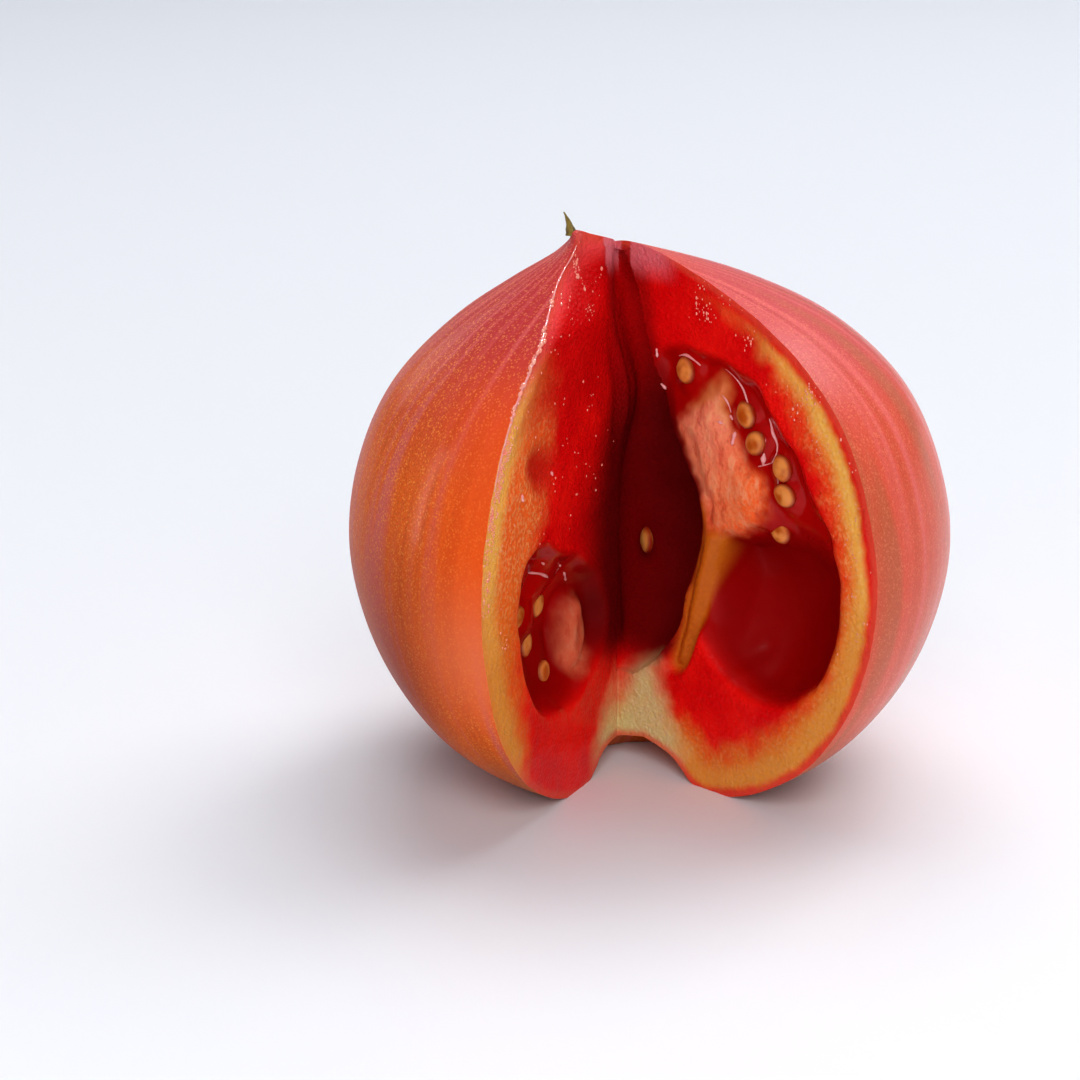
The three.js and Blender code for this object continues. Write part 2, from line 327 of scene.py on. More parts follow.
us = REACH * np.linspace(0, 1, STEPS_U + 1)
zs = np.linspace(LOW, HIGH, STEPS_Z + 1)
zz, uu = np.meshgrid(zs, us, indexing="ij")
sheets = {}
for side in ("left", "right"):
    free = smooth(0, 2.0, uu) * smooth(REACH, REACH - 2, uu)
    sheet = on_face(side, uu, zz, relief(side, uu, zz) * free)
    sheets[side] = sheet + edge_shift(zz) * np.exp(-uu / 5.0)[..., None]
columns = STEPS_U + 1
count = columns * (STEPS_Z + 1)
points = [sheets["left"].reshape(-1, 3)]
index = np.arange(count).reshape(STEPS_Z + 1, columns)
other = np.zeros_like(index)
other[:, 0] = index[:, 0]
other[:, 1:] = count + np.arange((STEPS_Z + 1) * (columns - 1)).reshape(STEPS_Z + 1, columns - 1)
points.append(sheets["right"][:, 1:].reshape(-1, 3))
cut_faces = []
for i in range(STEPS_Z):
    for j in range(STEPS_U):
        cut_faces.append((index[i, j], index[i, j + 1], index[i + 1, j + 1], index[i + 1, j]))
        cut_faces.append((other[i, j], other[i + 1, j], other[i + 1, j + 1], other[i, j + 1]))
    cut_faces.append((index[i, -1], other[i, -1], other[i + 1, -1], index[i + 1, -1]))
cut_faces.append(tuple(index[0, ::-1]) + tuple(other[0, 1:]))
cut_faces.append(tuple(index[-1]) + tuple(other[-1, :0:-1]))
cutter = mesh_from("cutter", np.vstack(points), [tuple(int(v) for v in f) for f in cut_faces])
outward(cutter)
print("cutter:", len(cutter.data.vertices), "points")

# %% [markdown]
# ## The deep hollow behind the inner edge
# The seed chamber in the middle goes far into the fruit, where a height field can't reach. It is
# lofted from D-shaped rings, so its left wall carries the left cut face on into the dark.

# %% Take the wedge and the hollow out of the fruit
LIP = 0.8


def deep_hollow(rings=90, around=84):
    """The hollow as a closed body: reach along the right face and depth into the flesh at each height."""
    table = spline(DEEP_HOLLOW, rings)
    t = np.linspace(0, 2 * math.pi, around, endpoint=False)
    level, turn = np.meshgrid(np.arange(rings), t, indexing="ij")
    z, reach, depth = table[level, 0], table[level, 1], table[level, 2]
    u = reach / 2 - LIP / 2 + (reach / 2 + LIP / 2) * np.cos(turn)
    into = np.sin(turn) * np.where(np.sin(turn) > 0, depth, LIP)
    u = u - 0.32 * depth * smooth(0.5, 4.5, into) * smooth(0.2, -0.8, np.cos(turn))
    points = on_face("right", u, z, into).reshape(-1, 3)
    wall = smooth(0.2, 2.0, into).ravel()
    uneven = (0.7 * grain(points, 4.5, 21) + 0.2 * grain(points, 1.8, 22)) * wall
    points += uneven[:, None] * np.append(INTO["right"], 0)
    points += edge_shift(points[:, 2]) * np.exp(-np.clip(u.ravel(), 0, 99) / 5.0)[:, None]
    ends = [on_face("right", table[i, 1] / 2, table[i, 0], 0.0) for i in (0, -1)]
    obj = mesh_from("deep_hollow", np.vstack([points, *ends]), closed_faces(rings, around))
    outward(obj)
    return obj


hollow_cut = deep_hollow()
fruit.data.materials.append(bpy.data.materials.new("tomato_skin"))
flesh_look = bpy.data.materials.new("tomato_flesh")
for tool in (cutter, hollow_cut):
    tool.data.materials.append(flesh_look)
    step = fruit.modifiers.new("cut", "BOOLEAN")
    step.operation, step.solver, step.object = "DIFFERENCE", "MANIFOLD", tool
    step.material_mode = "TRANSFER"
bpy.context.view_layer.update()
cut_mesh = bpy.data.meshes.new_from_object(fruit.evaluated_get(bpy.context.evaluated_depsgraph_get()))
fruit.modifiers.clear()
fruit.data = cut_mesh
for tool in (cutter, hollow_cut):
    bpy.data.objects.remove(tool)
triangles = sum(len(p.vertices) - 2 for p in cut_mesh.polygons)
print("cut fruit:", triangles, "triangles,", [m.name for m in cut_mesh.materials])

# %% [markdown]
# ## What each point of the flesh is made of
# A ripe fruit is many tissues in one body: red flesh, a yellow-orange grainy zone under the skin,
# dark gel, pale placenta, a brownish strand and a whitish core at the stem end. The shape stays one
# mesh, and each point carries soft-edged shares of the tissues as attributes for the material. A few
# shares mark painted shade instead: beside and inside the deep hollow, at the top of the left face,
# low on the yellow zone and deep in the chambers.

# %% Give every point its tissues
co = np.empty(len(cut_mesh.vertices) * 3, np.float32)
cut_mesh.vertices.foreach_get("co", co)
co = co.reshape(-1, 3).astype(float) / MM


def below_skin(points):
    """Distance to the skin in millimetres, from the spun profile."""
    height = points[:, 2] + BASE_SINK
    offset = points[:, :2] - lean_at(height)[:, None] * TIP_LEAN
    reach = np.linalg.norm(offset, axis=1) / lobe_at(np.arctan2(offset[:, 1], offset[:, 0]), height)
    spot = np.stack([reach, height], axis=1)
    line = spline(PROFILE, 121)
    nearest = np.full(len(points), 99.0)
    for start, end in zip(line[:-1], line[1:]):
        along = end - start
        t = np.clip(((spot - start) @ along) / (along @ along), 0, 1)
        nearest = np.minimum(nearest, np.linalg.norm(spot - start - t[:, None] * along, axis=1))
    return nearest


flat = co[:, :2] - EDGE
height = co[:, 2]
side_depth = {s: flat @ INTO[s] for s in ANGLES}
along = {s: flat @ OUT[s] for s in ANGLES}
is_left = np.abs(side_depth["left"]) < np.abs(side_depth["right"])
u_here = np.where(is_left, along["left"], along["right"])
beneath = below_skin(co)
soft = 0.9 * grain(co, 2.6, 31) + 0.5 * grain(co, 1.1, 32)


def share(side, outline, low, high, rough=0.0):
    """How much of a point belongs to the tissue inside an outline, with a soft or ragged edge."""
    here = is_left if side == "left" else ~is_left
    return smooth(low, high, inside(outline, u_here, height) + rough * soft) * here


def along_height(rows):
    """A measure at every point's height, from rows of height and measure."""
    return np.interp(height, [row[0] for row in rows], [row[1] for row in rows])


# The yellow zone under the skin, as distances below the skin on the right face and along the left one
right_inner = along_height([(14, 6.5), (24, 6.2), (38.3, 6.6), (46.7, 6.6), (53.4, 6.4), (59.9, 6.0),
                            (66.3, 3.5), (73, 1.2)])
right_outer = along_height([(14, 1.0), (24, 1.2), (39.3, 1.9), (47.7, 2.0), (54.4, 1.8), (60.9, 1.8),
                            (67.1, 1.7), (73, 1.5)])
left_zone = along_height([(14, 33), (24, 35), (34, 34), (39.7, 32), (46.7, 27), (52, 26), (58.8, 24.5),
                          (63.5, 25.5), (66.2, 22.5), (69.4, 23), (74, 31)])
left_band = smooth(-3.6, 4.2, along["left"] - left_zone + 1.6 * soft) * smooth(72, 62, height)
right_band = smooth(right_outer - 0.8, right_outer + 0.9, beneath + 0.4 * soft)
right_band *= smooth(right_inner + 3.0, right_inner - 2.2, beneath + 1.3 * soft) * smooth(77, 68, height)
beyond = along["right"] - along_height(DEEP_HOLLOW)
shade_reach = along_height([(14, 10), (26, 24), (42, 23), (50, 17), (60, 10), (75, 3.5), (82, 2)])
# Painted shade beside the deep hollow: in from the left face's inner edge, and just before the hollow.
gap_shade = np.where(is_left, smooth(shade_reach, 0.3, along["left"]), smooth(3.4, 0.0, beyond))
near_cut = smooth(16, 0, side_depth["left"]) * smooth(4, 14, along["left"]) * is_left
low_lobe = 0.6 * share("left", LOW_LOBE, -1.2, 1.2, 0.5)
in_bowl = np.where(is_left, smooth(30, 24, height), smooth(46, 38, height))
own_depth = np.where(is_left, side_depth["left"], side_depth["right"])
tissues = {
    "rind": np.clip(beneath / 10, 0, 1),
    "band": np.where(is_left, left_band, right_band),
    "gel": np.maximum(share("right", CHAMBER, -0.8, 0.9), share("left", LOW_CHAMBER, -0.8, 1.0)),
    "lobe": np.maximum(share("right", PLACENTA, -1.5, 1.3, 0.9), low_lobe),
    "strand": share("right", STRAND, -0.7, 0.6),
    "spot": share("left", SOFT_SPOT, -2.2, 2.0, 0.5),
    "core": smooth(11, 4, np.hypot(co[:, 0], co[:, 1]) + 0.55 * np.maximum(height - 6, 0) + soft),
    "hollow": smooth(0.2, 6.0, side_depth["right"]) * smooth(2.0, 0.6, beyond),
    "gap_shade": gap_shade * smooth(12, 22, height),
    "upper": smooth(52, 70, height),
    "blush": smooth(3.8, 0.6, beneath) * smooth(58, 70, height) * is_left,
    "pale_top": smooth(75.5, 80.0, height + 0.25 * soft) * smooth(12, 6, along["right"]) * ~is_left,
    "golden": 0.75 * share("right", PLACENTA, 1.5, -0.2, 0.8) * smooth(55, 60, height),
    "near_cut": near_cut * smooth(12, 30, height) * smooth(74, 60, height),
    # The top of the left face is painted a darker red: painted shade.
    "left_top_shade": smooth(55, 64, height) * is_left * smooth(1.5, 4.0, beneath),
    # Low on the yellow zone the colour is painted darker and browner: painted shade.
    "low": smooth(46, 26, height),
    "warm": np.where(is_left, 0.4, smooth(-4, 9, along["right"] - 19 - 0.55 * (height - 52))),
    # Deep in the low chambers the gel is painted darker, the deeper the more: painted shade.
    "bowl": in_bowl * smooth(0.5, 4, np.abs(own_depth)),
}
for name, values in tissues.items():
    cut_mesh.attributes.new(name, "FLOAT", "POINT").data.foreach_set("value", values.astype(np.float32))
    print(f"{name}: on {np.mean(values > 0.5):.1%} of the points")

# %% [markdown]
# Stripes on the skin follow its meridians, which all meet at the leaning tip. So each point also
# carries its direction from the leaning middle line, and its height in belly radii.

# %% Give every point its meridian
from_middle = co[:, :2] - lean_at(height + BASE_SINK)[:, None] * TIP_LEAN
distance = np.maximum(np.linalg.norm(from_middle, axis=1), 1e-6)[:, None]
meridian = np.concatenate([from_middle / distance, height[:, None] / BELLY], axis=1)
cut_mesh.attributes.new("meridian", "FLOAT_VECTOR", "POINT").data.foreach_set("vector", np.ravel(meridian))
print("meridians on", len(meridian), "points")

# %% [markdown]
# ## Shader maths as plain expressions
# A material is a small graph. The class below wraps a socket so that numbers and sockets can be
# added and multiplied as in any Python line, and one method makes every other node.

# %% The look of a material, built from expressions
class Value:
    """A socket that takes part in ordinary arithmetic."""

    def __init__(self, look, socket):
        self.look, self.socket = look, socket

    def _math(self, operation, first, second):
        return self.look.node("ShaderNodeMath", {"operation": operation}, {0: first, 1: second})

    def __add__(self, other):
        return self._math("ADD", self, other)

    def __radd__(self, other):
        return self._math("ADD", other, self)

    def __sub__(self, other):
        return self._math("SUBTRACT", self, other)

    def __rsub__(self, other):
        return self._math("SUBTRACT", other, self)

    def __mul__(self, other):
        return self._math("MULTIPLY", self, other)

    def __rmul__(self, other):
        return self._math("MULTIPLY", other, self)


class Look:
    """One material's node graph."""

    def __init__(self, name):
        self.material = bpy.data.materials.get(name) or bpy.data.materials.new(name)
        self.material.use_nodes = True
        self.tree = self.material.node_tree
        self.tree.nodes.clear()

    def node(self, kind, settings=None, sockets=None, output=0):
        """A new node with these settings, whose sockets take plain values or other nodes' Values."""
        made = self.tree.nodes.new(kind)
        for key, value in (settings or {}).items():
            setattr(made, key, value)
        for key, value in (sockets or {}).items():
            if isinstance(value, Value):
                self.tree.links.new(value.socket, made.inputs[key])
            elif value is not None:
                made.inputs[key].default_value = value
        return Value(self, made.outputs[output]) if made.outputs else None

    def mix(self, factor, first, second):
        """The first colour where factor is 0 and the second where it is 1."""
        first = first if isinstance(first, Value) else rgb(first)
        second = second if isinstance(second, Value) else rgb(second)
        return self.node("ShaderNodeMix", {"data_type": "RGBA"}, {0: factor, 6: first, 7: second}, output=2)

    def ease(self, value, low, high):
        """The same S curve as smooth, from 0 at low to 1 at high."""
        return self.node("ShaderNodeMapRange", {"interpolation_type": "SMOOTHSTEP"},
                         {0: value, 1: low, 2: high, 3: 0.0, 4: 1.0})

    def share(self, name):
        return self.node("ShaderNodeAttribute", {"attribute_name": name}, output="Fac")

    def place(self, scale=(1, 1, 1)):
        here = self.node("ShaderNodeTexCoord", output="Object")
        return here if scale == (1, 1, 1) else self.node("ShaderNodeMapping", {}, {0: here, 3: scale})

    def axis(self, letter):
        return self.node("ShaderNodeSeparateXYZ", {}, {0: self.place()}, output=letter)

    def noise(self, size, detail=3.0, rough=0.55, stretch=(1, 1, 1)):
        """Noise whose hills are about size metres across."""
        return self.node("ShaderNodeTexNoise", {}, {"Vector": self.place(stretch), "Scale": 1 / size,
                                                    "Detail": detail, "Roughness": rough}, output="Fac")

    def stripes(self, across, along):
        """Noise in stripes from stem end to tip: their width in radians, and their length in belly radii."""
        spot = self.node("ShaderNodeAttribute", {"attribute_name": "meridian"}, output="Vector")
        spot = self.node("ShaderNodeMapping", {}, {0: spot, 3: (1, 1, across / along)})
        return self.node("ShaderNodeTexNoise", {}, {"Vector": spot, "Scale": 1 / across, "Detail": 2.0,
                                                    "Roughness": 0.5}, output="Fac")

    def cells(self, size):
        """Distance from the middles of cells that are about size metres across."""
        return self.node("ShaderNodeTexVoronoi", {}, {"Vector": self.place(), "Scale": 1 / size},
                         output="Distance")

    def bump(self, height, distance, strength, under=None):
        return self.node("ShaderNodeBump", {}, {"Height": height, "Distance": distance, "Strength": strength,
                                                "Normal": under})

    def finish(self, **sockets):
        """Ends the graph in one Principled shader, with an underscore for each space in a socket's name."""
        names = {key.replace("_", " "): value for key, value in sockets.items()}
        shader = self.node("ShaderNodeBsdfPrincipled", {}, names)
        self.node("ShaderNodeOutputMaterial", {}, {"Surface": shader})
        return self.material


def rgb(colour):
    """A screen colour from 0 to 255 as the linear colour that Blender mixes."""
    part = [c / 255 for c in colour]
    return tuple(c / 12.92 if c <= 0.04045 else ((c + 0.055) / 1.055) ** 2.4 for c in part) + (1.0,)


print("shader helpers ready")

# %% [markdown]
# ## Skin
# Tomato skin is a thin waxy film over orange and red cells, so it looks satin and finely speckled.
# Noise gives large patches, stripes along the meridians and dark speckles, and the middles of tiny
# cells shine golden. The right side is pinker, partly its own tint and partly a painted sheen, and
# the top right is a paler painted sheen. Low on the left the skin is painted darker as painted
# shade, and a lighter pink patch low beside the cut is a painted reflection.

# %% Skin material
look = Look("tomato_skin")
here, up = look.axis("X"), look.axis("Z")
patches = look.noise(0.030, 2.0)
speckle = look.noise(0.00030, 2.0, 0.55)
flecks = look.cells(0.00045)
coarse = look.noise(0.0013, 2.0, 0.5)
streaks = look.stripes(0.085, 2.0)
broad = look.stripes(0.24, 1.8)
# Pinker towards the right: partly the skin's own tint, partly a painted sheen of the upper-right lamp.
pinkness_and_sheen = look.ease(here + (patches - 0.5) * 0.03 + (up - 0.045) * 0.60, -0.030, 0.020)
top_left = look.ease(up + (patches - 0.5) * 0.03, 0.050, 0.074) * look.ease(here, 0.004, -0.012)
# A paler pink at the top right is a painted sheen.
top_right_sheen = look.ease(up + (patches - 0.5) * 0.02, 0.056, 0.078) * look.ease(here, -0.006, 0.010)
base = look.mix(pinkness_and_sheen, (236, 96, 14), (230, 90, 66))
base = look.mix(top_left, base, (198, 56, 60))
base = look.mix(top_right_sheen * 0.8, base, (214, 84, 92))
streak_shade = look.mix(pinkness_and_sheen, (222, 100, 94), (240, 112, 108))
base = look.mix(look.ease(streaks, 0.48, 0.66) * (0.80 - 0.20 * pinkness_and_sheen), base, streak_shade)
base = look.mix(look.ease(streaks, 0.46, 0.34) * (0.50 - 0.25 * pinkness_and_sheen), base, (196, 62, 6))
base = look.mix(look.ease(broad, 0.48, 0.62) * look.ease(here, 0.004, 0.034) * 0.6, base, (186, 100, 62))
gold = look.ease(flecks, 0.50, 0.18) * look.ease(speckle + coarse, 0.75, 1.15)
base = look.mix(gold * (0.75 - 0.45 * pinkness_and_sheen), base, look.mix(pinkness_and_sheen, (255, 160, 60), (255, 160, 110)))
base = look.mix(look.ease(speckle, 0.50, 0.36) * (0.34 - 0.12 * pinkness_and_sheen), base, (160, 32, 4))
base = look.mix(look.share("near_cut") * 0.72, base, (255, 88, 28))
# Low on the left the skin is painted darker: painted shade where little light reaches it.
low_left_shade = look.ease(up + (patches - 0.5) * 0.02, 0.054, 0.016) * look.ease(here, -0.024, -0.038)
base = look.mix(low_left_shade * 0.85, base, (140, 42, 2))
# A lighter pink patch low beside the cut is a painted reflection.
low_pink_reflection = look.share("near_cut") * look.ease(up, 0.046, 0.028) * look.ease(up, 0.008, 0.022)
base = look.mix(low_pink_reflection * 0.6, base, (236, 126, 82))
stem_end = look.ease(up, 0.020, 0.001)
base = look.mix(stem_end * (0.35 + 0.5 * look.ease(broad + patches, 0.8, 1.2)), base, (170, 86, 28))
wave = look.bump(look.noise(0.004, 2.0), 0.0003, 0.25)
relief_skin = look.bump(speckle, 0.00005, 0.5, wave)
gloss = 0.16 + 0.40 * look.ease(here + up * 0.4, 0.010, 0.050)
look.finish(Base_Color=base, Roughness=0.52 + 0.10 * patches, Normal=relief_skin, Coat_Weight=gloss,
            Coat_Roughness=0.18, Coat_IOR=1.22, IOR=1.20, Specular_IOR_Level=0.16, Sheen_Weight=0.03,
            Sheen_Roughness=0.30, Subsurface_Weight=0.10, Subsurface_Scale=0.0012,
            Subsurface_Radius=(1.0, 0.30, 0.10))
print("skin:", len(look.tree.nodes), "nodes")

# %% [markdown]
# ## Wet flesh
# One material paints every tissue from the shares on the points, with grain that differs for each.
# Cut cells hold juice, so the flesh glistens in many tiny points, while the gel is smooth as glass.

# %% Flesh material
look = Look("tomato_flesh")
rind, band, gel = look.share("rind"), look.share("band"), look.share("gel")
lobe, strand, spot = look.share("lobe"), look.share("strand"), look.share("spot")
core, hollow, gap_shade = look.share("core"), look.share("hollow"), look.share("gap_shade")
warm, bowl, upper = look.share("warm"), look.share("bowl"), look.share("upper")
blush, golden, pale_top = look.share("blush"), look.share("golden"), look.share("pale_top")
cloud = look.noise(0.009, 3.0)
crumb = look.noise(0.0006, 3.0, 0.6)
dots = look.cells(0.0006)
red = look.mix(look.ease(cloud, 0.36, 0.66), (226, 4, 8), (246, 18, 12))
red = look.mix(look.ease(crumb, 0.58, 0.76) * 0.18, red, (246, 66, 52))
yellow = look.mix(look.ease(rind + (cloud - 0.5) * 0.35, 0.28, 0.66), (255, 184, 78), (252, 102, 34))
yellow = look.mix(look.ease(crumb, 0.44, 0.66) * 0.40, yellow, (255, 206, 130))
# Low on the yellow zone the colour is painted darker and browner: painted shade.
yellow = look.mix(look.share("low") * 0.55, yellow, (216, 112, 16))
colour = look.mix(band, red, yellow)
colour = look.mix(spot * 0.9, colour, (206, 8, 8))
# The top of the left face is painted a darker red: painted shade.
colour = look.mix(look.share("left_top_shade") * 0.7, colour, (196, 2, 6))
colour = look.mix(blush * 0.45, colour, (250, 112, 112))
colour = look.mix(gel * (1 - 0.4 * band), colour, look.mix(cloud, (150, 2, 3), (196, 6, 5)))
# Deep in the low chambers the gel is painted darker, the deeper the more: painted shade.
colour = look.mix(bowl * gel, colour, (146, 1, 2))
veins = look.noise(0.0016, 3.0, 0.6, stretch=(1, 1, 0.45))
pink = look.mix(warm, (250, 138, 104), (255, 98, 36))
pink = look.mix(look.ease(crumb * 0.5 + cloud * 0.5, 0.42, 0.60) * 0.5, pink, (248, 156, 102))
pink = look.mix(look.ease(veins, 0.50, 0.70) * 0.55, pink, (255, 176, 128))
pink = look.mix(look.ease(veins, 0.46, 0.32) * 0.50, pink, (206, 62, 34))
pink = look.mix(golden * 0.8, pink, (226, 138, 50))
colour = look.mix(lobe, colour, pink)
colour = look.mix(strand * (1 - lobe), colour, look.mix(crumb, (186, 84, 10), (214, 112, 28)))
plain = (1 - lobe) * (1 - strand)
# Beside the deep hollow both faces are painted a darker red, and lower down almost black: painted shade.
colour = look.mix(gap_shade * 0.75 * plain, colour, (140, 1, 3))
colour = look.mix(look.ease(gap_shade, 0.25, 1.0) * (1 - upper) * 0.85 * plain, colour, (88, 0, 2))
# Inside the deep hollow the flesh is painted dark red low down and brighter near its top: painted shade.
colour = look.mix(hollow * plain, colour, look.mix(upper, (112, 0, 2), (206, 2, 4)))
colour = look.mix(core * (1 - gel), colour, look.mix(crumb, (206, 190, 92), (238, 226, 176)))
colour = look.mix(look.ease(rind, 0.17, 0.03) * (1 - 0.8 * band) * 0.8, colour, (232, 76, 54))
colour = look.mix(pale_top * 0.85, colour, (236, 122, 132))
wet = gel * (1 - lobe) * (1 - bowl * 0.9)
dull = look.ease(hollow + gap_shade * 0.5, 0.1, 0.5)
rough = 0.36 + 0.12 * crumb - 0.26 * wet + 0.10 * lobe
dry = (1 - wet) * (1 - bowl)
grit = look.bump(dots * dry, 0.00018, 0.6)
grit = look.bump(crumb * dry, 0.00026, 0.8, grit)
smooth_wet = look.bump(look.noise(0.0022, 1.0), 0.0004, 0.15)
turned = look.node("ShaderNodeMix", {"data_type": "VECTOR"}, {0: wet, 4: grit, 5: smooth_wet}, output=1)
moist = (0.35 + 0.25 * band + 0.50 * wet) * (1 - 0.95 * dull) * (1 - 0.95 * bowl)
look.finish(Base_Color=colour, Roughness=rough + 0.3 * dull, Normal=turned, Coat_Weight=moist,
            Coat_Roughness=0.05, Coat_IOR=1.20, IOR=1.20, Specular_IOR_Level=0.30,
            Subsurface_Weight=0.15, Subsurface_Scale=0.0015, Subsurface_Radius=(1.0, 0.20, 0.08))
print("flesh:", len(look.tree.nodes), "nodes")

# %% [markdown]
# ## Seeds in their gel
# Seeds are flat pointed ovals, each in a coat of gel. They repeat, so Geometry Nodes place one seed
# mesh at points that carry its turn, and the result is made real for the export.

# %% Model one seed
SEED_LENGTH, SEED_WIDTH, SEED_THICK = 4.2, 3.6, 1.7
SEED_RINGS, SEED_AROUND = 9, 18


def seed_mesh():
    """One seed: a flattened egg with a blunt point at one end, length along Y, thickness along Z."""
    x, z, y = ball(SEED_RINGS, SEED_AROUND).T
    taper = 1 - 0.24 * smooth(0.1, 1.0, y)
    grid = np.stack([x * taper * SEED_WIDTH / 2, y * SEED_LENGTH / 2, z * SEED_THICK / 2], axis=-1)
    grid = np.vstack([grid, [[0, SEED_LENGTH / 2 * 1.03, 0], [0, -SEED_LENGTH / 2, 0]]])
    obj = mesh_from("one_seed", grid, closed_faces(SEED_RINGS, SEED_AROUND))
    rim = np.hypot(grid[:, 0] / SEED_WIDTH, grid[:, 1] / SEED_LENGTH) * 2
    obj.data.attributes.new("rim", "FLOAT", "POINT").data.foreach_set("value", rim.astype(np.float32))
    outward(obj)
    return obj


# Face, u, z and turn in degrees
SEEDS = [
    ("right", 12.2, 63.8, 12), ("right", 24.2, 59.3, 24), ("right", 26.2, 55.5, -42),
    ("right", 31.3, 52.7, 25), ("right", 31.9, 48.8, 75), ("right", 28.8, 42.2, 55),
    ("left", 18.2, 29.6, 50), ("left", 22.0, 24.6, 15), ("left", 18.4, 19.4, -35), ("left", 25.2, 29.8, 70),
]
SUNK = 0.15
# One more seed lies edge-on on the far wall of the deep hollow
FAR_SEED = {"u": -1.0, "z": 33.7, "depth": 6.6, "turn": 0.35}
place, spin = [], []
for side, u, z, turn in SEEDS:
    depth = float(relief(side, np.array([[u]]), np.array([[z]]))[0, 0])
    place.append(on_face(side, u, z, depth + SUNK))
    x_axis, y_axis = np.append(OUT[side], 0), UP
    c, s = math.cos(math.radians(turn)), math.sin(math.radians(turn))
    along_u, along_z = x_axis * c + y_axis * s, -x_axis * s + y_axis * c
    basis = np.stack([along_u, along_z, np.cross(along_u, along_z)], axis=1)
    spin.append(tuple(Matrix(basis.tolist()).to_euler()))
place.append(on_face("right", FAR_SEED["u"], FAR_SEED["z"], FAR_SEED["depth"]))
edge_on = Matrix(((0, 0, -1), (-1, 0, 0), (0, 1, 0)))
spin.append(tuple((Matrix.Rotation(FAR_SEED["turn"], 3, "Z") @ edge_on).to_euler()))
print(len(place), "seeds placed")

# %% [markdown]
# The tree below takes a cloud of points and one model. Each point carries its own turn and size, so
# the same tree places the seeds and, further down, the beads of juice.

# %% Place the seeds with Geometry Nodes
def placing_tree(name):
    """A tree that puts a model object on every point, turned by the attribute spin and sized by grow."""
    tree = bpy.data.node_groups.new(name, "GeometryNodeTree")
    for socket, kind in (("Points", "Geometry"), ("Model", "Object"), ("Finish", "Material")):
        tree.interface.new_socket(socket, in_out="INPUT", socket_type="NodeSocket" + kind)
    tree.interface.new_socket("Placed", in_out="OUTPUT", socket_type="NodeSocketGeometry")
    nodes = tree.nodes
    given, result = nodes.new("NodeGroupInput"), nodes.new("NodeGroupOutput")
    model, put = nodes.new("GeometryNodeObjectInfo"), nodes.new("GeometryNodeInstanceOnPoints")
    turn, grow = nodes.new("GeometryNodeInputNamedAttribute"), nodes.new("GeometryNodeInputNamedAttribute")
    turn.data_type, grow.data_type = "FLOAT_VECTOR", "FLOAT"
    turn.inputs["Name"].default_value, grow.inputs["Name"].default_value = "spin", "grow"
    euler = nodes.new("FunctionNodeEulerToRotation")
    real, paint = nodes.new("GeometryNodeRealizeInstances"), nodes.new("GeometryNodeSetMaterial")
    wires = (
        (given, "Points", put, "Points"), (given, "Model", model, "Object"),
        (model, "Geometry", put, "Instance"), (turn, "Attribute", euler, "Euler"),
        (euler, "Rotation", put, "Rotation"), (grow, "Attribute", put, "Scale"),
        (put, "Instances", real, "Geometry"), (real, "Geometry", paint, "Geometry"),
        (given, "Finish", paint, "Material"), (paint, "Geometry", result, "Placed"),
    )
    for start, leaves, end, enters in wires:
        tree.links.new(start.outputs[leaves], end.inputs[enters])
    return tree


def scatter(name, points, spins, grows, model, finish):
    """Places model at the points through the tree and returns the result as one plain mesh."""
    cloud = mesh_from(name, points, [])
    cloud.data.attributes.new("spin", "FLOAT_VECTOR", "POINT").data.foreach_set("vector", np.ravel(spins))
    cloud.data.attributes.new("grow", "FLOAT", "POINT").data.foreach_set("value", np.array(grows, np.float32))
    tree = bpy.data.node_groups.get("place_on_points") or placing_tree("place_on_points")
    step = cloud.modifiers.new("place", "NODES")
    step.node_group = tree
    given = {i.name: i.identifier for i in tree.interface.items_tree if i.in_out == "INPUT"}
    step[given["Model"]], step[given["Finish"]] = model, finish
    bpy.context.view_layer.update()
    made = bpy.data.meshes.new_from_object(cloud.evaluated_get(bpy.context.evaluated_depsgraph_get()))
    cloud.modifiers.clear()
    cloud.data = made
    bpy.data.objects.remove(model)
    print(name, "has", len(made.polygons), "faces")
    return cloud


look = Look("seed_coat")
fuzz = look.noise(0.0006, 2.0, 0.5)
dome = look.noise(0.003, 2.0)
golden_seed = look.mix(look.ease(dome, 0.40, 0.62), (188, 82, 16), (236, 152, 74))
golden_seed = look.mix(look.ease(look.share("rim"), 0.35, 0.70) * 0.5, golden_seed, (232, 140, 62))
golden_seed = look.mix(look.ease(look.share("rim"), 0.68, 1.00), golden_seed, (150, 28, 5))
look.finish(Base_Color=golden_seed, Roughness=0.26 + 0.08 * fuzz, Normal=look.bump(fuzz, 0.00008, 0.4),
            Coat_Weight=1.0, Coat_Roughness=0.04, Coat_IOR=1.30, IOR=1.25, Specular_IOR_Level=0.3,
            Subsurface_Weight=0.3, Subsurface_Scale=0.001, Subsurface_Radius=(1.0, 0.45, 0.15))
seeds = scatter("seeds", place, spin, [1.0] * len(place), seed_mesh(), look.material)

# %% [markdown]
# ## Beads of juice
# A fresh cut sweats. Long beads line up where the skin was cut through, finer ones gather on the
# grainy zone under it, and a few larger ones sit near the tip. The same tree places them, at points
# drawn by a seeded generator from the cut faces, and noise gathers them in groups. The beads are
# painted a pale pinkish white, a painted highlight for the glints on clear juice.

# %% Scatter the beads
BEAD_STRETCH, BEAD_RINGS, BEAD_AROUND = 1.6, 3, 8


def bead_mesh():
    """One bead: a coarse drop of a few dozen faces, one millimetre wide and longer in height."""
    drop = np.vstack([ball(BEAD_RINGS, BEAD_AROUND), [0, 0, 1], [0, 0, -1]]) / 2 * [1, 1, BEAD_STRETCH]
    obj = mesh_from("one_bead", drop, closed_faces(BEAD_RINGS, BEAD_AROUND))
    outward(obj)
    return obj


